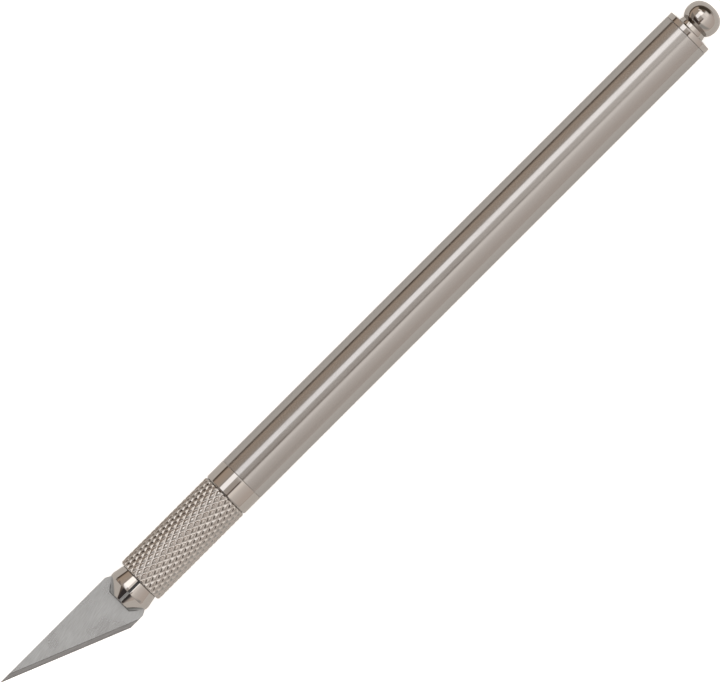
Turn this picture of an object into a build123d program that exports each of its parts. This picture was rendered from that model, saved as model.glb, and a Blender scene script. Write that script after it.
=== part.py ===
from build123d import *

import os
from math import asin, cos, degrees, radians, tan

# Hobby craft knife: a slim tubular metal handle with a screw-tightened split collet at its front,
# a pointed blade held in the collet, and a screwed plug with an oblate ball at its rear.
#
# The knife lies along X with the blade flat in the XY plane. The origin is on the axis, at the
# barrel's front end: -X leads to the blade's tip, +X to the ball, +Y is the side of the blade's
# spine and -Y the side of its cutting edge. All sizes are millimetres.

# ---- driving dimensions ----
barrel_diameter = 8.0
barrel_wall = 0.8
barrel_length = 95.3
collar_length = 3.5
sleeve_length = 18.37
blade_reach = 47.95
blade_thickness = 0.5
thread_diameter = 4.0

# ---- fits and small edges ----
face_gap = 0.03
running_gap = 0.1
thread_gap = 0.06
seat_gap = 0.01
edge_break = 0.08

barrel_radius = barrel_diameter / 2
bore_radius = barrel_radius - barrel_wall
thread_radius = thread_diameter / 2

# ---- front collar: a turned insert in the barrel's mouth, which the collet screws into ----
collar_rim = 0.25
collar_spigot_length = 10.0
collar_spigot_chamfer = 0.25

# ---- collet: four jaws on a round root with a threaded tail behind it ----
nose_front_x = -26.19
nose_front_radius = 2.1
nose_edge_x = -24.3
nose_edge_radius = 3.7
nose_widest_x = -23.83
nose_widest_radius = 3.76
taper_angle = 12.0
jaw_radius = 2.65
root_front_x = -10.0
root_rear_x = -4.2
root_radius = 2.9
tail_rear_x = 6.5
relief_length = 0.8
relief_depth = 0.35
cross_slot_width = 0.45
blade_slot_width = blade_thickness + 2 * seat_gap
taper_slope = tan(radians(taper_angle))
taper_rear_x = nose_widest_x + (nose_widest_radius - jaw_radius) / taper_slope

# ---- knurled sleeve: its mouth closes on the collet's taper ----
sleeve_rear_x = -collar_length - face_gap
sleeve_front_x = sleeve_rear_x - sleeve_length
sleeve_bore_radius = root_radius + running_gap
sleeve_chamfer = 0.25
taper_clearance = 0.02
mouth_radius = nose_widest_radius - (sleeve_front_x - nose_widest_x) * taper_slope + taper_clearance
mouth_rear_x = sleeve_front_x + (mouth_radius - sleeve_bore_radius) / taper_slope

# ---- blade ----
spine_y = 4.1
edge_y = -4.05
heel_x = -27.85
shoulder_x = -25.26
tang_front_x = -22.3
tang_rear_x = -12.0
tang_half_width = 2.5
tang_corner_radius = 0.8
tang_slot_length = 6.5
tang_slot_width = 1.6
tang_slot_x = -17.0
bevel_width = 0.75
honed_thickness = 0.03

# ---- rear plug: spigot, flange, neck and ball, turned in one piece ----
plug_spigot_length = 10.0
plug_spigot_radius = bore_radius - thread_gap
plug_lead_chamfer = 0.5
plug_relief_length = 0.8
plug_relief_radius = plug_spigot_radius - 0.5
flange_length = 0.92
cone_length = 0.16
cone_small_radius = 2.38
neck_radius = 2.22
ball_x = 98.8
ball_radius = 2.9
ball_half_length = 2.46

os.makedirs("parts", exist_ok=True)

# The barrel is a plain tube with its outer rims lightly broken.
with BuildPart() as barrel:
    with BuildSketch(Plane.YZ):
        Circle(barrel_radius)
        Circle(bore_radius, mode=Mode.SUBTRACT)
    extrude(amount=barrel_length)
    rims = barrel.edges().filter_by(GeomType.CIRCLE)
    chamfer(rims.group_by(SortBy.RADIUS)[-1], edge_break)

barrel.part.label = "barrel"
export_step(barrel.part, "parts/barrel.step")

# The front collar is a ring as wide as the barrel, a spigot inside the barrel and a through hole
# for the collet's threaded tail.
with BuildPart() as front_collar:
    with BuildSketch(Plane.YZ.offset(-collar_length)):
        Circle(barrel_radius)
    extrude(amount=collar_length)
    front_rim, rear_rim = front_collar.edges().filter_by(GeomType.CIRCLE).sort_by(Axis.X)
    chamfer(front_rim, collar_rim)
    chamfer(rear_rim, edge_break)
    with BuildSketch(Plane.YZ):
        Circle(bore_radius - seat_gap)
    extrude(amount=collar_spigot_length)
    spigot_rim = front_collar.edges().filter_by(GeomType.CIRCLE).sort_by(Axis.X)[-1]
    chamfer(spigot_rim, collar_spigot_chamfer)
    with Locations(Plane.YZ.offset(collar_spigot_length)):
        Hole(thread_radius + thread_gap)

front_collar.part.label = "front_collar"
export_step(front_collar.part, "parts/front_collar.step")

# The sleeve's bore opens at its front end in a cone that fits the collet's taper. The knurl is
# too shallow to matter to the fit, so the sleeve's outside is the cylinder over its crests.
with BuildPart() as knurled_sleeve:
    with BuildSketch(Plane.XY):
        with BuildLine():
            Polyline(
                (sleeve_front_x, mouth_radius),
                (sleeve_front_x, barrel_radius),
                (sleeve_rear_x, barrel_radius),
                (sleeve_rear_x, sleeve_bore_radius),
                (mouth_rear_x, sleeve_bore_radius),
                close=True,
            )
        make_face()
    revolve(axis=Axis.X)
    sleeve_rims = knurled_sleeve.edges().filter_by(GeomType.CIRCLE)
    chamfer(sleeve_rims.group_by(SortBy.RADIUS)[-1], sleeve_chamfer)

knurled_sleeve.part.label = "knurled_sleeve"
export_step(knurled_sleeve.part, "parts/knurled_sleeve.step")

# The collet's body is the round root that its jaws spring from, a short relief and the tail. The
# tail's thread is drawn as a plain cylinder at the thread's outer diameter.
with BuildPart() as collet_body:
    with BuildSketch(Plane.YZ.offset(root_front_x)):
        Circle(root_radius)
    extrude(amount=root_rear_x - root_front_x)
    chamfer(collet_body.edges().filter_by(GeomType.CIRCLE), edge_break)
    with BuildSketch(Plane.YZ.offset(root_rear_x)):
        Circle(thread_radius - relief_depth)
    extrude(amount=relief_length)
    with BuildSketch(Plane.YZ.offset(root_rear_x + relief_length)):
        Circle(thread_radius)
    extrude(amount=tail_rear_x - root_rear_x - relief_length)
    tail_rim = collet_body.edges().filter_by(GeomType.CIRCLE).sort_by(Axis.X)[-1]
    chamfer(tail_rim, relief_depth)

collet_body.part.label = "collet_body"
export_step(collet_body.part, "parts/collet_body.step")


def make_jaw(spine_side, upper_side):
    """One quarter of the slit collet: spine_side is +1 for +Y, upper_side is +1 for +Z."""
    with BuildPart() as jaw:
        with BuildSketch(Plane.XY):
            with BuildLine():
                Polyline(
                    (nose_front_x, 0),
                    (nose_front_x, nose_front_radius),
                    (nose_edge_x, nose_edge_radius),
                    (nose_widest_x, nose_widest_radius),
                    (taper_rear_x, jaw_radius),
                    (root_front_x - face_gap, jaw_radius),
                    (root_front_x - face_gap, 0),
                    close=True,
                )
            make_face()
        revolve(axis=Axis.X)
        blade_slot_wall = Plane.XY.offset(upper_side * blade_slot_width / 2)
        split(bisect_by=blade_slot_wall, keep=Keep.TOP if upper_side > 0 else Keep.BOTTOM)
        cross_slot_wall = Plane.ZX.offset(spine_side * cross_slot_width / 2)
        split(bisect_by=cross_slot_wall, keep=Keep.TOP if spine_side > 0 else Keep.BOTTOM)
    return jaw


# The blade slot and the cross slot part the collet into four jaws.
jaw_sides = {
    "jaw_upper_spine": (1, 1),
    "jaw_upper_edge": (-1, 1),
    "jaw_lower_spine": (1, -1),
    "jaw_lower_edge": (-1, -1),
}
for jaw_name, (spine_side, upper_side) in jaw_sides.items():
    jaw = make_jaw(spine_side, upper_side)
    jaw.part.label = jaw_name
    export_step(jaw.part, f"parts/{jaw_name}.step")

# The blade has a straight spine and a slanting edge, and necks down at its shoulders to a
# slotted tang that lies between the jaws.
tip = Vector(-blade_reach, spine_y)
heel = Vector(heel_x, edge_y)
edge_direction = (heel - tip).normalized()
toward_spine = Vector(0, 0, 1).cross(edge_direction)
half_thickness = blade_thickness / 2
half_honed = honed_thickness / 2
overrun = 4.0

with BuildPart() as blade:
    with BuildSketch(Plane.XY):
        with BuildLine():
            Polyline(
                tip,
                (shoulder_x, spine_y),
                (tang_front_x, tang_half_width),
                (tang_rear_x, tang_half_width),
                (tang_rear_x, -tang_half_width),
                (tang_front_x, -tang_half_width),
                (shoulder_x, edge_y),
                heel,
                close=True,
            )
        make_face()
    extrude(amount=half_thickness, both=True)
    upright_edges = blade.edges().filter_by(Axis.Z)
    fillet(upright_edges.group_by(Axis.X)[-1], tang_corner_radius)
    with BuildSketch(Plane.XY.offset(-half_thickness)):
        with Locations((tang_slot_x, 0)):
            SlotOverall(tang_slot_length, tang_slot_width)
    extrude(amount=blade_thickness, mode=Mode.SUBTRACT)
    # A wedge cut along each face grinds the edge down to its honed thickness.
    wedge_plane = Plane(tip - edge_direction * overrun, x_dir=toward_spine, z_dir=edge_direction)
    for face_side in (1, -1):
        with BuildSketch(wedge_plane):
            with BuildLine():
                Polyline(
                    (-overrun, face_side * blade_thickness),
                    (-overrun, face_side * half_honed),
                    (0, face_side * half_honed),
                    (bevel_width, face_side * half_thickness),
                    (bevel_width, face_side * blade_thickness),
                    close=True,
                )
            make_face()
        extrude(amount=(heel - tip).length + 2 * overrun, mode=Mode.SUBTRACT)

blade.part.label = "blade"
export_step(blade.part, "parts/blade.step")

# The rear plug is a solid of revolution. Its ball is half an ellipse turned about the axis, cut
# off where it meets the neck, and its spigot's thread is drawn as a plain cylinder.
flange_front_x = barrel_length + face_gap
flange_rear_x = flange_front_x + flange_length
spigot_front_x = barrel_length - plug_spigot_length
relief_front_x = flange_front_x - plug_relief_length
ball_arc = 180 - degrees(asin(neck_radius / ball_radius))
neck_rear_x = ball_x + ball_half_length * cos(radians(ball_arc))

with BuildPart() as rear_plug:
    with BuildSketch(Plane.XY):
        with BuildLine():
            Polyline(
                (ball_x + ball_half_length, 0),
                (spigot_front_x, 0),
                (spigot_front_x, plug_spigot_radius - plug_lead_chamfer),
                (spigot_front_x + plug_lead_chamfer, plug_spigot_radius),
                (relief_front_x, plug_spigot_radius),
                (relief_front_x, plug_relief_radius),
                (flange_front_x, plug_relief_radius),
                (flange_front_x, barrel_radius - edge_break),
                (flange_front_x + edge_break, barrel_radius),
                (flange_rear_x - edge_break, barrel_radius),
                (flange_rear_x, barrel_radius - edge_break),
                (flange_rear_x + cone_length, cone_small_radius),
                (neck_rear_x, neck_radius),
            )
            EllipticalCenterArc((ball_x, 0), ball_half_length, ball_radius, 0, arc_size=ball_arc)
        make_face()
    revolve(axis=Axis.X)

rear_plug.part.label = "rear_plug"
export_step(rear_plug.part, "parts/rear_plug.step")
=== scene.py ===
import math

import bmesh
import bpy
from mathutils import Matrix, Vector


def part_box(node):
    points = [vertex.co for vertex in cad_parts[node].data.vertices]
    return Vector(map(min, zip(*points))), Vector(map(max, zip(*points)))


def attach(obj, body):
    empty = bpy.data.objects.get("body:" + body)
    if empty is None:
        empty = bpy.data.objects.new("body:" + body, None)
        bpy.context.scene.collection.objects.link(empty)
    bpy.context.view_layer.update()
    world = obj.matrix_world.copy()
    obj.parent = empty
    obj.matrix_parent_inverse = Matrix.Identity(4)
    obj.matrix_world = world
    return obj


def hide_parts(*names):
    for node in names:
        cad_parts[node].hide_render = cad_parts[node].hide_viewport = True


# A slim craft knife lying on a pale table, seen from straight above. Every length is in metres.
# The knife's axis is X, its blade lies flat in the XY plane and points along -X.

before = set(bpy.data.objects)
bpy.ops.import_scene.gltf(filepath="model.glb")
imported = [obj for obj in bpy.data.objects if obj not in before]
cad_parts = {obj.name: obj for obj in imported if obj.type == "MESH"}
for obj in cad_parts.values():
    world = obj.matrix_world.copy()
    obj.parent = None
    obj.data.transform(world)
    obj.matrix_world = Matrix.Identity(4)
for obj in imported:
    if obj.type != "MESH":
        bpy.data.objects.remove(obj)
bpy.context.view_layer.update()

MM = 0.001
TURN = 2 * math.pi

# ---- stations along the axis and radii, read from the frame ----
barrel_low, barrel_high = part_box("barrel")
collar_low, collar_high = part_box("front_collar")
sleeve_low, sleeve_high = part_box("knurled_sleeve")
jaw_low, jaw_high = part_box("jaw_upper_spine")
root_low, root_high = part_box("collet_body")
blade_low, blade_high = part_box("blade")
plug_low, plug_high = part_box("rear_plug")

OUTER_RADIUS = barrel_high.y
ROOT_RADIUS = root_high.y

# ---- sizes inside the knife, which the frame's boxes don't show ----
BARREL_WALL = 0.8 * MM
BORE_RADIUS = OUTER_RADIUS - BARREL_WALL
SLEEVE_BORE = 3.0 * MM
JAW_CYLINDER = 2.65 * MM
ROOT_LENGTH = 5.8 * MM

# ---- fits and threads ----
FACE_GAP = 0.03 * MM
SEAT_GAP = 0.01 * MM
TAPER_CLEARANCE = 0.02 * MM
THREAD_CLEARANCE = 0.06 * MM
THREAD_RADIUS = 2.0 * MM
THREAD_PITCH = 0.7 * MM
THREAD_RELIEF_LENGTH = 0.8 * MM
THREAD_RELIEF_DEPTH = 0.35 * MM
PLUG_PITCH = 0.75 * MM
PLUG_THREAD_RADIUS = BORE_RADIUS - THREAD_CLEARANCE
PLUG_RELIEF_LENGTH = 0.8 * MM
PLUG_RELIEF_DEPTH = 0.5 * MM

# ---- nose of the collet ----
NOSE_FRONT_RADIUS = 2.1 * MM
NOSE_FRONT_BEND = 0.12 * MM
NOSE_CONE_LENGTH = 1.89 * MM
NOSE_CONE_RADIUS = 3.7 * MM
NOSE_WIDEST_X = jaw_low.x + 2.36 * MM
NOSE_WIDEST = 3.76 * MM
TAPER_SLOPE = math.tan(math.radians(12))
BLADE_SLOT = 0.52 * MM
CROSS_SLOT = 0.45 * MM
EASED_EDGE = 0.15 * MM
EASED_ANGLE = math.radians(17)

# Where each jaw is: 1 on the spine's side (+Y) or -1 on the edge's, then 1 above the blade (+Z) or
# -1 below it.
JAW_SIDES = {
    "jaw_upper_spine": (1, 1),
    "jaw_upper_edge": (-1, 1),
    "jaw_lower_spine": (1, -1),
    "jaw_lower_edge": (-1, -1),
}

# ---- knurl ----
# Grooves in each direction, and the distance along the axis between their crossings.
KNURL_COUNT = 27
KNURL_LENGTH = 1.884 * MM
# How far the pattern is shifted along the axis, and turned round it in radians.
KNURL_START = 0.79 * MM
KNURL_TURN = 0.0217
KNURL_SPACING = 1 / math.hypot(1 / KNURL_LENGTH, KNURL_COUNT / (TURN * OUTER_RADIUS))
KNURL_DEPTH = 0.17 * MM
KNURL_FLANK = math.radians(45)
GROOVE_RADIUS = 0.22 * MM
GROOVE_FLOOR = GROOVE_RADIUS * math.sin(KNURL_FLANK)
GROOVE_FLOOR_RISE = GROOVE_RADIUS * (1 - math.cos(KNURL_FLANK))
KNURL_SAMPLES = 24
SLEEVE_CHAMFER = 0.25 * MM

# ---- blade ----
HEEL_FROM_TIP = 20.1 * MM
SHOULDER_FROM_TIP = 22.69 * MM
EDGE_ANGLE = math.atan2(blade_low.y - blade_high.y, HEEL_FROM_TIP)
GRAIN_ANGLE = math.radians(12)
BEVEL_WIDTH = 0.75 * MM
HONED_THICKNESS = 0.03 * MM
TANG_FROM_TIP = 25.65 * MM
TANG_HALF_WIDTH = 2.5 * MM
TANG_CORNER = 0.8 * MM
TANG_SLOT_HALF_LENGTH = 3.25 * MM
TANG_SLOT_HALF_WIDTH = 0.8 * MM
TANG_SLOT_FROM_REAR = 5.0 * MM

# ---- rear plug ----
FLANGE_FRONT_X = barrel_high.x + FACE_GAP
FLANGE_LENGTH = 0.92 * MM
CONE_LENGTH = 0.16 * MM
CONE_RADIUS = 2.38 * MM
NECK_RADIUS = 2.22 * MM
BALL_RADIUS = 2.9 * MM
BALL_HALF_LENGTH = 2.46 * MM
# 2 would make the ball's outline an ellipse, and more makes it squarer.
BALL_SQUARENESS = 2.2

# How many flat sides a turned piece has round the axis, unless it is given its own number.
SEGMENTS = 240


# ---------------------------------------------------------------- mesh tools

def steps(start, end, count):
    """Evenly spaced values from start to end, both included."""
    return [start + (end - start) * k / count for k in range(count + 1)]


def softened(points, bends=5):
    """Rounds an outline's corners. Each point is (x, r, reach): reach is how far the bend extends."""
    outline = []
    for k, (x, r, reach) in enumerate(points):
        corner = Vector((x, r))
        if reach == 0:
            outline.append((x, r))
            continue
        before = Vector(points[k - 1][:2]) - corner
        after = Vector(points[(k + 1) % len(points)][:2]) - corner
        start = corner + before.normalized() * reach
        end = corner + after.normalized() * reach
        for t in steps(0, 1, bends):
            bent = start * (1 - t) ** 2 + corner * 2 * t * (1 - t) + end * t ** 2
            outline.append((bent.x, bent.y))
    return outline


def closed_mesh(name, vertices, faces):
    """A smooth-shaded mesh object whose normals point outwards."""
    mesh = bpy.data.meshes.new(name)
    mesh.from_pydata(vertices, [], faces)
    work = bmesh.new()
    work.from_mesh(mesh)
    bmesh.ops.recalc_face_normals(work, faces=work.faces)
    for face in work.faces:
        face.smooth = True
    work.to_mesh(mesh)
    work.free()
    piece = bpy.data.objects.new(name, mesh)
    bpy.context.scene.collection.objects.link(piece)
    return piece


def turned(name, outline, radius_at=None, segments=SEGMENTS):
    """Turns a closed outline of (x, r) points about the X axis. radius_at may reshape its rings."""
    vertices, rings = [], []
    for x, r in outline:
        if r == 0:
            rings.append([len(vertices)] * segments)
            vertices.append((x, 0, 0))
            continue
        rings.append(list(range(len(vertices), len(vertices) + segments)))
        for k in range(segments):
            angle = TURN * k / segments
            radius = radius_at(x, r, angle) if radius_at else r
            vertices.append((x, radius * math.cos(angle), radius * math.sin(angle)))
    faces = []
    for this, following in zip(rings, rings[1:] + rings[:1]):
        for k in range(segments):
            m = (k + 1) % segments
            corners = dict.fromkeys((this[k], this[m], following[m], following[k]))
            if len(corners) > 2:
                faces.append(list(corners))
    return closed_mesh(name, vertices, faces)


def crease(piece, degrees):
    """Keeps edges sharper than this angle crisp in the shading."""
    piece.data.set_sharp_from_angle(angle=math.radians(degrees))


def soften_edges(piece, width, degrees, segments=3):
    """Rounds off every edge sharper than this angle."""
    bevel = piece.modifiers.new("soft_edges", "BEVEL")
    bevel.width = width
    bevel.segments = segments
    bevel.limit_method = "ANGLE"
    bevel.angle_limit = math.radians(degrees)
    bevel.harden_normals = True


def place(piece, body, node, slot, *materials):
    """Puts a finished piece on its body in place of its CAD node."""
    for material in materials:
        piece.data.materials.append(material)
    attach(piece, body)
    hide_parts(node)


def thread(start, end, pitch, depth):
    """A radius function for a helical thread: flat crests, sloping flanks, runs out at both ends.

    A negative depth makes the thread of a bore, whose grooves go outwards.
    """
    half_groove = 0.36

    def radius_at(x, r, angle):
        if not start < x < end:
            return r
        turn = (x / pitch - angle / TURN) % 1
        groove = max(0.0, 1 - abs(turn - 0.5) / half_groove)
        runout = min(1.0, (x - start) / pitch, (end - x) / pitch)
        return r - depth * runout * groove
    return radius_at


# ---------------------------------------------------------------- pieces

def make_barrel():
    """The tube: a bore with a threaded rear mouth, and lightly rounded rims."""
    front, rear = barrel_low.x, barrel_high.x
    rim, inner_rim = 0.07 * MM, 0.12 * MM
    thread_start, thread_depth, thread_rings = rear - 11 * MM, 0.3 * MM, 120
    outline = softened([
        (front, BORE_RADIUS, inner_rim),
        (front, OUTER_RADIUS, rim),
        (rear, OUTER_RADIUS, rim),
        (rear, BORE_RADIUS, inner_rim),
    ])
    bore = [(x, BORE_RADIUS) for x in steps(rear - inner_rim * 2, thread_start, thread_rings)]
    cut = thread(thread_start, rear, PLUG_PITCH, -thread_depth)

    def radius_at(x, r, angle):
        return cut(x, r, angle) if r == BORE_RADIUS else r

    piece = turned("barrel_tube", outline + bore, radius_at, segments=160)
    crease(piece, 40)
    return piece


def make_collar():
    """The front insert: ring, spigot and a threaded through hole."""
    front, ring_rear, rear = collar_low.x, 0, collar_high.x
    hole = THREAD_RADIUS + THREAD_CLEARANCE
    spigot = BORE_RADIUS - SEAT_GAP
    front_rim, rear_rim, spigot_rim, hole_rim = 0.26 * MM, 0.1 * MM, 0.25 * MM, 0.2 * MM
    thread_start, thread_end = front + 0.4 * MM, rear - 0.4 * MM
    thread_depth, thread_rings = 0.25 * MM, 150
    outline = softened([
        (front, hole, hole_rim),
        (front, OUTER_RADIUS, front_rim),
        (ring_rear, OUTER_RADIUS, rear_rim),
        (ring_rear, spigot, 0),
        (rear, spigot, spigot_rim),
        (rear, hole, hole_rim),
    ])
    bore = [(x, hole) for x in steps(thread_end, thread_start, thread_rings)]
    cut = thread(thread_start, thread_end, THREAD_PITCH, -thread_depth)

    def radius_at(x, r, angle):
        return cut(x, r, angle) if r == hole else r

    piece = turned("collar_insert", outline + bore, radius_at)
    crease(piece, 50)
    return piece


def knurl_height(x, angle):
    """The height over the deepest groove, from 0 to KNURL_DEPTH, where two sets of grooves cross."""
    around = KNURL_COUNT * (math.pi / 2 - angle - KNURL_TURN) / TURN
    along = (x - KNURL_START) / KNURL_LENGTH
    height = KNURL_DEPTH
    for strand in (around + along, around - along):
        from_groove = abs(strand - round(strand)) * KNURL_SPACING
        if from_groove < GROOVE_FLOOR:
            flank = GROOVE_RADIUS - math.sqrt(GROOVE_RADIUS ** 2 - from_groove ** 2)
        else:
            flank = GROOVE_FLOOR_RISE + (from_groove - GROOVE_FLOOR) * math.tan(KNURL_FLANK)
        height = min(height, flank)
    return height


def make_sleeve():
    """The knurled clamping sleeve: diamonds outside, a tapered mouth inside."""
    front, rear = sleeve_low.x, sleeve_high.x
    mouth = NOSE_WIDEST - (front - NOSE_WIDEST_X) * TAPER_SLOPE + TAPER_CLEARANCE
    mouth_rear = front + (mouth - SLEEVE_BORE) / TAPER_SLOPE
    mouth_rim, rear_rim = 0.08 * MM, 0.1 * MM
    count = round((rear - front) / KNURL_LENGTH * KNURL_SAMPLES)
    outside = [(x, OUTER_RADIUS) for x in steps(front, rear, count)]
    inside = softened([
        (rear, SLEEVE_BORE, rear_rim),
        (mouth_rear, SLEEVE_BORE, 0),
        (front, mouth, mouth_rim),
    ], bends=3)

    def radius_at(x, r, angle):
        if r < OUTER_RADIUS:
            return r
        from_end = min(x - front, rear - x)
        chamfer = OUTER_RADIUS - SLEEVE_CHAMFER + min(from_end, SLEEVE_CHAMFER)
        return min(chamfer, OUTER_RADIUS - KNURL_DEPTH + knurl_height(x, angle))

    return turned("knurled_chuck", outside + inside, radius_at, KNURL_COUNT * KNURL_SAMPLES)


def make_collet_root():
    """The collet's root and its threaded tail."""
    front, rear = root_low.x, root_high.x
    shoulder = front + ROOT_LENGTH
    relief_end = shoulder + THREAD_RELIEF_LENGTH
    relief = THREAD_RADIUS - THREAD_RELIEF_DEPTH
    rim = 0.1 * MM
    crest_start, crest_end, crest_rings = relief_end + 0.4 * MM, rear - 0.4 * MM, 140
    thread_start, thread_end = relief_end + 0.3 * MM, rear - 0.2 * MM
    outline = [(front, 0)] + softened([
        (front, ROOT_RADIUS, rim),
        (shoulder, ROOT_RADIUS, rim),
        (shoulder, relief, rim),
        (relief_end, relief, 0),
        (relief_end + THREAD_RELIEF_DEPTH, THREAD_RADIUS, 0),
    ], bends=3)
    outline += [(x, THREAD_RADIUS) for x in steps(crest_start, crest_end, crest_rings)]
    outline += [(rear, relief), (rear, 0)]
    cut = thread(thread_start, thread_end, THREAD_PITCH, THREAD_RELIEF_DEPTH)

    def radius_at(x, r, angle):
        return cut(x, r, angle) if r == THREAD_RADIUS else r

    piece = turned("collet_root", outline, radius_at, segments=96)
    crease(piece, 40)
    return piece


def make_jaw(name, spine_side, upper_side):
    """One quarter of the slit collet, lofted through sections that the two slots cut square.

    The cross slot's edge towards the cutting edge is eased, and catches the light as a thin line.
    """
    front, rear = jaw_low.x, jaw_high.x
    taper_rear = NOSE_WIDEST_X + (NOSE_WIDEST - JAW_CYLINDER) / TAPER_SLOPE
    cone_bend, widest_bend, taper_bend = 0.05 * MM, 0.1 * MM, 0.2 * MM
    stations = softened([
        (front, NOSE_FRONT_RADIUS, NOSE_FRONT_BEND),
        (front + NOSE_CONE_LENGTH, NOSE_CONE_RADIUS, cone_bend),
        (NOSE_WIDEST_X, NOSE_WIDEST, widest_bend),
        (taper_rear, JAW_CYLINDER, taper_bend),
        (rear, JAW_CYLINDER, 0),
    ])
    stations = [(front, NOSE_FRONT_RADIUS - NOSE_FRONT_BEND)] + [s for s in stations if s[0] > front]
    half_slot, half_cross = BLADE_SLOT / 2, CROSS_SLOT / 2
    eased = EASED_EDGE if spine_side < 0 else 0
    arc_count = 44
    vertices, rings = [], []
    for x, r in stations:
        section = [(half_cross, half_slot)]
        first, last = math.asin(half_slot / r), math.acos((half_cross + eased) / r)
        section += [(r * math.cos(a), r * math.sin(a)) for a in steps(first, last, arc_count)]
        if eased:
            section.append((half_cross, r * math.sin(last) - eased * math.tan(EASED_ANGLE)))
        rings.append(list(range(len(vertices), len(vertices) + len(section))))
        vertices += [(x, spine_side * y, upper_side * z) for y, z in section]
    faces = [rings[0], rings[-1]]
    for this, following in zip(rings, rings[1:]):
        for k in range(len(this)):
            m = (k + 1) % len(this)
            faces.append((this[k], this[m], following[m], following[k]))
    piece = closed_mesh(name, vertices, faces)
    soften_edges(piece, width=0.035 * MM, degrees=30)
    return piece


def tang_end(rear):
    """The tang's rounded rear corners, from the edge side to the spine side."""
    corner_steps = 8
    points = []
    for side in (-1, 1):
        centre = Vector((rear - TANG_CORNER, side * (TANG_HALF_WIDTH - TANG_CORNER)))
        start = -math.pi / 2 if side < 0 else 0
        for a in steps(start, start + math.pi / 2, corner_steps):
            points.append((centre.x + TANG_CORNER * math.cos(a), centre.y + TANG_CORNER * math.sin(a)))
    return points


def tang_slot(rear, side):
    """Half of the slot's rim, from its rear end to its front end, on one side of the axis."""
    middle = rear - TANG_SLOT_FROM_REAR
    reach = TANG_SLOT_HALF_LENGTH - TANG_SLOT_HALF_WIDTH
    rim_steps = 16
    points = []
    for a in steps(0, math.pi, rim_steps):
        end = reach if a < math.pi / 2 else -reach
        x = middle + end + TANG_SLOT_HALF_WIDTH * math.cos(a)
        points.append((x, side * TANG_SLOT_HALF_WIDTH * math.sin(a)))
    return points


def make_blade():
    """The blade: two flat faces, a ground bevel on each, and a slotted tang between the jaws."""
    half, honed = blade_high.z, HONED_THICKNESS / 2
    spine, edge, tip_x, rear = blade_high.y, blade_low.y, blade_low.x, blade_high.x
    heel_x, shoulder_x = tip_x + HEEL_FROM_TIP, tip_x + SHOULDER_FROM_TIP
    neck_x = tip_x + TANG_FROM_TIP
    edge_slope = math.atan2(spine - edge, heel_x - tip_x)
    along = BEVEL_WIDTH / math.sin(edge_slope)
    end = tang_end(rear)
    half_count = len(end) // 2
    lower = [(heel_x + along, edge), (shoulder_x, edge), (neck_x, -TANG_HALF_WIDTH)] + end[:half_count]
    upper = end[half_count:] + [(neck_x, TANG_HALF_WIDTH), (shoulder_x, spine), (tip_x + along, spine)]
    slot_lower = tang_slot(rear, -1)
    slot_upper = tang_slot(rear, 1)
    rim = lower + upper
    hole = slot_lower + slot_upper[-2:0:-1]
    honed_edge = [(tip_x, spine), (heel_x, edge)]
    # Each side of the blade has the flat's rim, the slot's rim and the two ends of the edge.
    vertices, start = [], {}
    for side in (1, -1):
        start[side] = len(vertices)
        vertices += [(x, y, side * half) for x, y in rim + hole]
        vertices += [(x, y, side * honed) for x, y in honed_edge]
    rims, holes = len(rim), len(hole)
    slot_half = len(slot_lower)
    faces = []
    # The flat is drawn in two halves, which meet in front of the slot and behind it.
    for side in (1, -1):
        base = start[side]
        lower_rim = [base + k for k in range(len(lower))]
        upper_rim = [base + k for k in range(len(lower), rims)]
        lower_slot = [base + rims + k for k in range(slot_half)]
        upper_slot = [base + rims + k % holes for k in range(slot_half - 1, holes + 1)]
        faces.append(lower_rim + lower_slot + [upper_rim[-1]])
        faces.append(upper_rim + upper_slot + [lower_rim[-1]])
        tip, heel = base + rims + holes, base + rims + holes + 1
        faces.append([tip, heel, lower_rim[0], upper_rim[-1]])
    # Walls join the two sides: round the rim, round the slot, and along the honed edge.
    top, bottom = start[1], start[-1]
    for k in range(rims - 1):
        faces.append([top + k, top + k + 1, bottom + k + 1, bottom + k])
    for k in range(holes):
        a, b = rims + k, rims + (k + 1) % holes
        faces.append([top + a, top + b, bottom + b, bottom + a])
    tip, heel = rims + holes, rims + holes + 1
    faces.append([top + tip, top + heel, bottom + heel, bottom + tip])
    faces.append([top + heel, top, bottom, bottom + heel])
    faces.append([top + rims - 1, top + tip, bottom + tip, bottom + rims - 1])
    piece = closed_mesh("blade_pointed", vertices, faces)
    crease(piece, 12)
    # The bevels lean a little away from the flats and take the second material.
    walls_below, flats_above = 0.5, 0.999
    for face in piece.data.polygons:
        tilted = walls_below < abs(face.normal.z) < flats_above
        face.material_index = 1 if tilted else 0
    soften_edges(piece, width=0.012 * MM, degrees=50, segments=2)
    return piece


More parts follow.
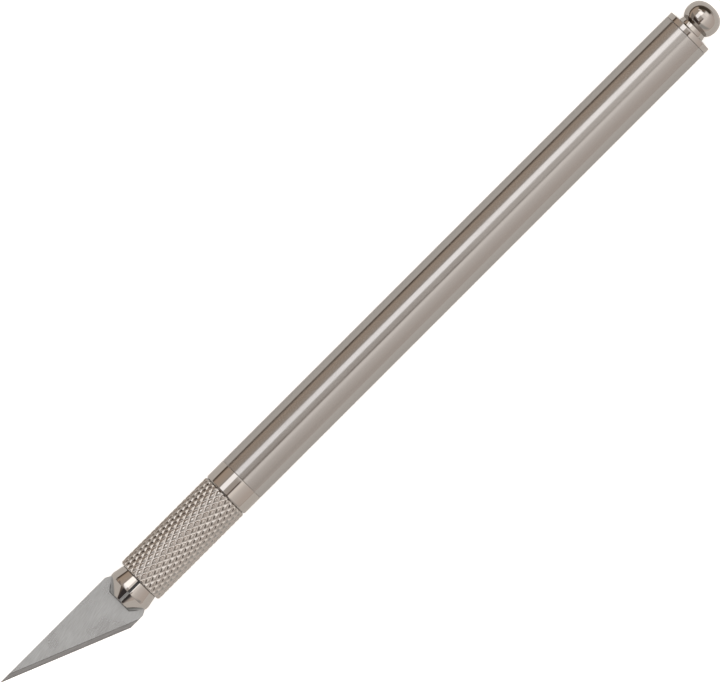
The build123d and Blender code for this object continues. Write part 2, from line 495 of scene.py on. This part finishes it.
def make_plug():
    """The rear plug: threaded spigot, flange, shallow cone, neck and an oblate ball."""
    front, rear = plug_low.x, plug_high.x
    flange_rear = FLANGE_FRONT_X + FLANGE_LENGTH
    ball_x = rear - BALL_HALF_LENGTH
    relief_x = FLANGE_FRONT_X - PLUG_RELIEF_LENGTH
    relief = PLUG_THREAD_RADIUS - PLUG_RELIEF_DEPTH
    relief_slope = 0.1 * MM
    lead_in = 0.5 * MM
    thread_start, thread_depth, thread_rings = front + 0.3 * MM, 0.38 * MM, 130
    groove_bend, front_rim, rear_rim, cone_bend = 0.05 * MM, 0.06 * MM, 0.08 * MM, 0.05 * MM
    bend = 2 / BALL_SQUARENESS
    ball_rings = 72
    neck_angle = math.pi - math.asin((NECK_RADIUS / BALL_RADIUS) ** (1 / bend))
    ball = []
    for a in steps(neck_angle, 0, ball_rings)[:-1]:
        reach = math.copysign(abs(math.cos(a)) ** bend, math.cos(a))
        ball.append((ball_x + BALL_HALF_LENGTH * reach, BALL_RADIUS * math.sin(a) ** bend))
    spigot = [(front, 0), (front, PLUG_THREAD_RADIUS - lead_in)]
    spigot += [(x, PLUG_THREAD_RADIUS) for x in steps(front + lead_in, relief_x, thread_rings)]
    body = softened([
        (relief_x + relief_slope, relief, groove_bend),
        (FLANGE_FRONT_X, relief, groove_bend),
        (FLANGE_FRONT_X, OUTER_RADIUS, front_rim),
        (flange_rear, OUTER_RADIUS, rear_rim),
        (flange_rear + CONE_LENGTH, CONE_RADIUS, cone_bend),
        (ball[0][0], NECK_RADIUS, 0),
    ])
    cut = thread(thread_start, relief_x, PLUG_PITCH, thread_depth)

    def radius_at(x, r, angle):
        return cut(x, r, angle) if r == PLUG_THREAD_RADIUS else r

    piece = turned("ball_plug", spigot + body + ball[1:] + [(rear, 0)], radius_at)
    crease(piece, 50)
    return piece


# ---------------------------------------------------------------- shader tools

class Nodes:
    """A short way to add shader nodes to a tree and join them."""

    def __init__(self, tree):
        self.tree = tree
        tree.nodes.clear()

    def add(self, kind, inputs=None, **settings):
        node = self.tree.nodes.new("ShaderNode" + kind)
        for key, value in settings.items():
            setattr(node, key, value)
        for key, value in (inputs or {}).items():
            self.give(node.inputs[key], value)
        return node

    def give(self, socket, value):
        if isinstance(value, bpy.types.NodeSocket):
            self.tree.links.new(value, socket)
        else:
            socket.default_value = value

    def math(self, operation, *values):
        node = self.add("Math", dict(enumerate(values)), operation=operation)
        return node.outputs[0]

    def mix(self, factor, a, b):
        """Blends two colours."""
        node = self.add("Mix", data_type="RGBA")
        self.give(node.inputs[0], factor)
        self.give(node.inputs[6], a)
        self.give(node.inputs[7], b)
        return node.outputs[2]

    def remap(self, value, low, high, to_low=0.0, to_high=1.0, smooth=False):
        node = self.add("MapRange", interpolation_type="SMOOTHSTEP" if smooth else "LINEAR")
        for key, given in zip(range(5), (value, low, high, to_low, to_high)):
            self.give(node.inputs[key], given)
        return node.outputs[0]

    def window(self, value, low, high, soft):
        """1 between low and high, 0 outside, with smooth borders."""
        rise = self.remap(value, low - soft, low + soft, smooth=True)
        fall = self.remap(value, high - soft, high + soft, 1.0, 0.0, smooth=True)
        return self.math("MULTIPLY", rise, fall)


# ---------------------------------------------------------------- materials

# Blender's noise mostly stays between these values.
NOISE_RANGE = (0.3, 0.7)
WIDE_NOISE_RANGE = (0.25, 0.75)


def metal(name, color, roughness, ring_spacing, ring_height, anisotropy, blotches, grazing):
    """A metal that was turned about X: fine rings round the axis and faint blotches.

    ring_height is how high the rings seem in the shading. grazing is how much of the full mirror
    shine is kept where the metal is seen edge-on.
    """
    cloud_scale = 160.0
    smoothest, roughest = 0.85, 1.2
    material = bpy.data.materials.new(name)
    material.use_nodes = True
    n = Nodes(material.node_tree)
    place_in_part = n.add("TexCoord").outputs["Object"]
    axes = n.add("SeparateXYZ", {0: place_in_part})
    ring_place = n.math("MULTIPLY", axes.outputs[0], 1 / ring_spacing)
    rings = n.add("TexNoise", {"W": ring_place, "Scale": 1.0, "Detail": 4.0}, noise_dimensions="1D")
    cloud = n.add("TexNoise", {"Vector": place_in_part, "Scale": cloud_scale, "Detail": 5.0})
    rough = n.remap(cloud.outputs[0], *NOISE_RANGE, roughness * smoothest, roughness * roughest)
    shade = n.remap(cloud.outputs[0], *WIDE_NOISE_RANGE, 1 - blotches, 1 + blotches)
    ring_shade = n.remap(rings.outputs[0], *NOISE_RANGE, 1 - blotches, 1 + blotches)
    tone = n.math("MULTIPLY", shade, ring_shade)
    tinted = n.add("VectorMath", {0: color, 1: tone}, operation="MULTIPLY")
    bump = n.add("Bump", {"Height": rings.outputs[0], "Strength": 1.0, "Distance": ring_height})
    shader = n.add("BsdfPrincipled", {
        "Base Color": tinted.outputs[0],
        "Metallic": 1.0,
        "Roughness": rough,
        "Specular Tint": (grazing, grazing, grazing, 1),
        "Anisotropic": anisotropy,
        "Tangent": n.add("CombineXYZ", {0: 1.0}).outputs[0],
        "Normal": bump.outputs[0],
    })
    n.add("OutputMaterial", {"Surface": shader.outputs[0]})
    return material


# Where shade is painted on the blade's steel, inside the collet and along the nose's outline, its tone is
# multiplied by this.
PAINTED_SHADE_TONE = 0.3

# A liberty: in reflections, the blade's spine half looks lighter and duller than it is, which keeps
# the nose's upper slanting border light.
MIRRORED_TONE = 1.6
MIRRORED_ROUGHNESS = 0.45


def painted_contact_shadow(n, x, y):
    """A thin line of painted contact shadow on the blade along the nose's outline, which fades out
    towards the spine and edge.
    """
    before, past, soft = 0.13 * MM, 0.05 * MM, 0.05 * MM
    fade_start, fade_end = 2.7 * MM, 3.1 * MM
    from_axis = n.math("ABSOLUTE", y)
    cone_run = NOSE_CONE_LENGTH / (NOSE_CONE_RADIUS - NOSE_FRONT_RADIUS)
    on_cone = n.math("MAXIMUM", n.math("SUBTRACT", from_axis, NOSE_FRONT_RADIUS), 0)
    past_nose = n.math("SUBTRACT", x, n.math("MULTIPLY", on_cone, cone_run))
    line = n.window(past_nose, jaw_low.x - before, jaw_low.x + past, soft)
    return n.math("MULTIPLY", line, n.remap(from_axis, fade_start, fade_end, 1.0, 0.0))


def inside_bevel(n, x, y):
    """1 on the bevel, falling to 0 in a thin line along both of its borders."""
    outer_line, inner_line, soft = 0.12 * MM, 0.07 * MM, 0.05 * MM
    down, across_edge = math.sin(EDGE_ANGLE), math.cos(EDGE_ANGLE)
    offset = blade_high.y * across_edge - blade_low.x * down
    from_edge = n.math("SUBTRACT", n.math("MULTIPLY", y, across_edge), n.math("MULTIPLY", x, down))
    from_edge = n.math("SUBTRACT", from_edge, offset)
    return n.window(from_edge, outer_line, BEVEL_WIDTH - inner_line, soft)


def ground_steel(name, color, roughness, grain_angle, grain, dark_borders=False):
    """Ground steel: a fine straight grain at an angle to X in the blade's plane.

    Painted shade darkens it inside the collet, and a painted contact shadow darkens it in a thin line
    along the nose's outline. dark_borders also draws the thin dark lines along both borders of a bevel.
    """
    grain_scale = (700, 9000, 700)
    cloud_scale = 260.0
    smoothest, roughest = 0.9, 1.12
    patchiness = 0.025
    grain_height = 0.0006 * MM
    border_tone = 0.6
    grazing = 0.76
    entry_soft = 0.1 * MM
    spine_half_soft = 0.5 * MM
    material = bpy.data.materials.new(name)
    material.use_nodes = True
    n = Nodes(material.node_tree)
    place_in_part = n.add("TexCoord").outputs["Object"]
    turned_place = n.add("Mapping", {"Vector": place_in_part, "Rotation": (0, 0, -grain_angle)})
    stretched = n.add("Mapping", {"Vector": turned_place.outputs[0], "Scale": grain_scale})
    scratches = n.add("TexNoise", {"Vector": stretched.outputs[0], "Scale": 1.0, "Detail": 6.0})
    cloud = n.add("TexNoise", {"Vector": place_in_part, "Scale": cloud_scale, "Detail": 5.0})
    shade = n.remap(scratches.outputs[0], *NOISE_RANGE, 1 - grain, 1 + grain)
    patch = n.remap(cloud.outputs[0], *NOISE_RANGE, 1 - patchiness, 1 + patchiness)
    tone = n.math("MULTIPLY", shade, patch)
    x, y = n.add("SeparateXYZ", {0: place_in_part}).outputs[:2]
    # Painted shade: the blade is darkened inside the collet, and along the nose's outline by a painted
    # contact shadow.
    nose_edge = jaw_low.x + NOSE_CONE_LENGTH
    shade_in_collet = n.remap(x, nose_edge - entry_soft, nose_edge + entry_soft, 1.0, PAINTED_SHADE_TONE)
    tone = n.math("MULTIPLY", tone, shade_in_collet)
    tone = n.math("MULTIPLY", tone, n.remap(painted_contact_shadow(n, x, y), 0, 1, 1.0, PAINTED_SHADE_TONE))
    if dark_borders:
        tone = n.math("MULTIPLY", tone, n.remap(inside_bevel(n, x, y), 0, 1, border_tone, 1.0))
    spine_half = n.remap(y, 0, spine_half_soft)
    mirrored = n.math("MULTIPLY", spine_half, n.add("LightPath").outputs["Is Glossy Ray"])
    tone = n.math("MULTIPLY", tone, n.remap(mirrored, 0, 1, 1.0, MIRRORED_TONE))
    tinted = n.add("VectorMath", {0: color, 1: tone}, operation="MULTIPLY")
    rough = n.remap(cloud.outputs[0], *NOISE_RANGE, roughness * smoothest, roughness * roughest)
    rough = n.math("ADD", rough, n.math("MULTIPLY", mirrored, MIRRORED_ROUGHNESS))
    bump = n.add("Bump", {"Height": scratches.outputs[0], "Strength": 1.0, "Distance": grain_height})
    shader = n.add("BsdfPrincipled", {
        "Base Color": tinted.outputs[0],
        "Metallic": 1.0,
        "Roughness": rough,
        "Specular Tint": (grazing, grazing, grazing, 1),
        "Normal": bump.outputs[0],
    })
    n.add("OutputMaterial", {"Surface": shader.outputs[0]})
    return material


# ---------------------------------------------------------------- stage

WHITE = (1, 1, 1, 1)
TABLE_COLOR = (0.93, 0.87, 0.81, 1)
BEYOND_COLOR = (0.16, 0.12, 0.09, 1)

# Where the pale table turns dark. On the spine's side it fades over SIDE_FADE along Y, but only
# from SIDE_START on along X, so not far past the tip. Past the ball it fades over END_FADE along
# X, but only from END_START on along Y, towards the spine's side.
SIDE_FADE = (45 * MM, 65 * MM)
SIDE_START = (-75 * MM, -55 * MM)
END_FADE = (125 * MM, 140 * MM)
END_START = (-20 * MM, -5 * MM)


def make_floor():
    """A plain pale table under the knife, lit up to white for the camera, as in a product shot.

    Its dark parts show only in what the metal mirrors.
    """
    size = 3.0
    height = -OUTER_RADIUS
    lift_strength = 0.55
    corners = [(-size, -size, height), (size, -size, height), (size, size, height), (-size, size, height)]
    mesh = bpy.data.meshes.new("floor")
    mesh.from_pydata(corners, [], [(0, 1, 2, 3)])
    floor = bpy.data.objects.new("floor", mesh)
    bpy.context.scene.collection.objects.link(floor)
    material = bpy.data.materials.new("pale_table")
    material.use_nodes = True
    n = Nodes(material.node_tree)
    x, y = n.add("SeparateXYZ", {0: n.add("NewGeometry").outputs["Position"]}).outputs[:2]
    side_start = n.remap(x, *SIDE_START, smooth=True)
    side = n.math("MULTIPLY", n.remap(y, *SIDE_FADE, smooth=True), side_start)
    end_start = n.remap(y, *END_START, smooth=True)
    end = n.math("MULTIPLY", n.remap(x, *END_FADE, smooth=True), end_start)
    edges = n.math("MAXIMUM", end, side)
    beyond = n.math("MULTIPLY", edges, n.add("LightPath").outputs["Is Glossy Ray"])
    color = n.mix(beyond, TABLE_COLOR, BEYOND_COLOR)
    table = n.add("BsdfDiffuse", {"Color": color})
    seen = n.math("MULTIPLY", n.add("LightPath").outputs["Is Camera Ray"], lift_strength)
    lift = n.add("Emission", {"Color": WHITE, "Strength": seen})
    both = n.add("AddShader", {0: table.outputs[0], 1: lift.outputs[0]})
    n.add("OutputMaterial", {"Surface": both.outputs[0]})
    floor.data.materials.append(material)


# The studio over the knife, band by band: the angle from straight up, positive towards the
# blade's spine (+Y), and the band's brightness. The bands run the knife's whole length.
STUDIO_BANDS = [
    (-90, (0.84, 0.74, 0.67)),
    (-66, (0.88, 0.77, 0.70)),
    (-46, (0.96, 0.87, 0.81)),
    (-31, (1.06, 0.98, 0.92)),
    (-12, (1.50, 1.39, 1.30)),
    (-8, (1.08, 1.02, 0.98)),
    (16, (1.02, 0.98, 0.95)),
    (20, (0.58, 0.53, 0.49)),
    (45, (0.60, 0.53, 0.48)),
    (54, (0.68, 0.57, 0.48)),
    (79, (0.70, 0.55, 0.44)),
    (85, (0.58, 0.46, 0.36)),
    (88, (0.26, 0.19, 0.14)),
    (92, (0.14, 0.10, 0.08)),
]
RAMP_REACH = 100

# Panels hung over the bands, each in front of the ones before it. The two ranges are degrees from
# straight up: across the knife, positive towards the spine, and along it, positive towards the
# ball. Then come how soft the panel's borders are, in degrees, and its brightness.
STUDIO_PANELS = [
    # Towards the tip: a dim screen, a nearly black one in front of it, and a grey one beside them.
    ((-20, 75), (-95, -27), 5, (0.36, 0.31, 0.27)),
    ((-13, 46), (-62, -27.5), 4, (0.08, 0.06, 0.05)),
    ((-80, -20), (-60, -25), 8, (0.56, 0.54, 0.51)),
    # Overhead: a soft grey patch, and a dark strip with a narrower, darker and longer one over it.
    ((-7.5, 17), (-20, 5), 2, (0.69, 0.62, 0.57)),
    ((-9, 3), (-38, -12), 2, (0.30, 0.24, 0.20)),
    ((-7, -1.5), (-45, 5), 1.2, (0.24, 0.18, 0.15)),
    # Towards the ball: a pale screen low down, two bright ones above it, and a dark one beside.
    ((-28, 32), (56, 95), 6, (0.95, 0.88, 0.82)),
    ((-20, 17), (8, 30), 4, (1.35, 1.27, 1.20)),
    ((-13, 17), (28, 56), 4, (1.55, 1.46, 1.38)),
    ((28, 64), (42, 62), 3, (0.26, 0.20, 0.15)),
    # The softbox on the spine's side, its brightest part, and a small bright panel past its corner.
    ((20.6, 42.6), (-18, 38), 1.2, (2.00, 1.96, 1.97)),
    ((17.5, 45), (10, 33), 2, (2.40, 2.30, 2.22)),
    ((42, 62), (37, 46), 2, (1.90, 1.80, 1.72)),
]

# Dark things that stand round the knife, in front of the panels: the range of directions round
# the horizon and its softness, in degrees, the height that they reach and its softness, as the
# sine of the angle over the horizon, and their brightness. Directions in front are counted from
# the tip's direction, the others from the ball's, both positive towards the spine's side.
DARK_FRONT = ((-16, 22), 5, 0.6, 0.1, (0.07, 0.06, 0.06))
DARK_REAR = ((-12, 58), 6, 0.42, 0.05, (0.10, 0.08, 0.06))
HORIZON = ((-25, 165), 8, 0.05, 0.02, (0.16, 0.12, 0.10))


def make_studio():
    """Soft studio light as a sky.

    The metal mirrors the bands, panels and dark things. The table gets an even white light, and
    the camera sees plain white.
    """
    world = bpy.data.worlds.new("studio")
    bpy.context.scene.world = world
    world.use_nodes = True
    world.cycles.sampling_method = "NONE"
    n = Nodes(world.node_tree)
    x, y, z = n.add("SeparateXYZ", {0: n.add("TexCoord").outputs["Generated"]}).outputs

    def degrees(opposite, adjacent):
        return n.math("MULTIPLY", n.math("ARCTAN2", opposite, adjacent), 360 / TURN)

    def dark_thing(sky, direction, around, around_soft, top, top_soft, color):
        beside = n.window(direction, *around, around_soft)
        below = n.window(z, -1, top, top_soft)
        return n.mix(n.math("MULTIPLY", beside, below), sky, (*color, 1))

    across, along = degrees(y, z), degrees(x, z)
    ramp = n.add("ValToRGB", {0: n.remap(across, -RAMP_REACH, RAMP_REACH)})
    stops = ramp.color_ramp.elements
    stops.remove(stops[1])
    for k, (angle, color) in enumerate(STUDIO_BANDS):
        position = (angle + RAMP_REACH) / (2 * RAMP_REACH)
        stop = stops[0] if k == 0 else stops.new(position)
        stop.position = position
        stop.color = (*color, 1)
    sky = ramp.outputs[0]
    for across_range, along_range, soft, color in STUDIO_PANELS:
        wide = n.window(across, *across_range, soft)
        long = n.window(along, *along_range, soft)
        sky = n.mix(n.math("MULTIPLY", wide, long), sky, (*color, 1))
    from_tip, from_ball = degrees(y, n.math("MULTIPLY", x, -1.0)), degrees(y, x)
    sky = dark_thing(sky, from_tip, *DARK_FRONT)
    sky = dark_thing(sky, from_ball, *DARK_REAR)
    sky = dark_thing(sky, from_ball, *HORIZON)
    light = n.add("LightPath")
    mirrored_or_diffuse = n.mix(light.outputs["Is Diffuse Ray"], sky, WHITE)
    everything = n.mix(light.outputs["Is Camera Ray"], mirrored_or_diffuse, WHITE)
    background = n.add("Background", {"Color": everything})
    n.add("OutputWorld", {"Surface": background.outputs[0]})


def make_camera():
    """A long lens straight above the knife, rolled so that the knife runs from corner to corner."""
    frame_width = 109.3 * MM
    over_x, over_y = 27.52 * MM, 2.13 * MM
    data = bpy.data.cameras.new("camera")
    data.lens = 1000
    data.sensor_width = 36
    data.clip_end = 10
    camera = bpy.data.objects.new("camera", data)
    bpy.context.scene.collection.objects.link(camera)
    distance = frame_width * data.lens / data.sensor_width
    camera.location = (over_x, over_y, distance)
    camera.rotation_euler = (0, 0, -TURN / 8)
    bpy.context.scene.camera = camera


# ---------------------------------------------------------------- scene

satin = metal(
    "satin_tube", (0.40, 0.39, 0.38), roughness=0.21, ring_spacing=0.09 * MM,
    ring_height=0.00002 * MM, anisotropy=0.9, blotches=0.02, grazing=0.85,
)
nickel = metal(
    "polished_nickel", (0.43, 0.41, 0.39), roughness=0.055, ring_spacing=0.06 * MM,
    ring_height=0.00001 * MM, anisotropy=0.3, blotches=0.02, grazing=1.0,
)
knurled = metal(
    "knurled_metal", (0.46, 0.44, 0.42), roughness=0.12, ring_spacing=0.05 * MM,
    ring_height=0.00001 * MM, anisotropy=0.0, blotches=0.03, grazing=0.85,
)
flat_steel = ground_steel("blade_steel", (0.48, 0.512, 0.533), 0.28, GRAIN_ANGLE, grain=0.12)
bevel_steel = ground_steel(
    "ground_bevel", (0.25, 0.255, 0.26), 0.24, EDGE_ANGLE, grain=0.16, dark_borders=True,
)

place(make_barrel(), "handle", "barrel", "satin_tube", satin)
place(make_collar(), "handle", "front_collar", "polished_nickel", nickel)
place(make_sleeve(), "chuck_sleeve", "knurled_sleeve", "knurled_metal", knurled)
place(make_collet_root(), "collet", "collet_body", "polished_nickel", nickel)
for jaw, sides in JAW_SIDES.items():
    place(make_jaw(f"nose_{jaw}", *sides), jaw, jaw, "polished_nickel", nickel)
place(make_blade(), "blade", "blade", "blade_steel", flat_steel, bevel_steel)
place(make_plug(), "rear_plug", "rear_plug", "polished_nickel", nickel)

make_floor()
make_studio()
make_camera()
bpy.context.scene.view_settings.view_transform = "Standard"
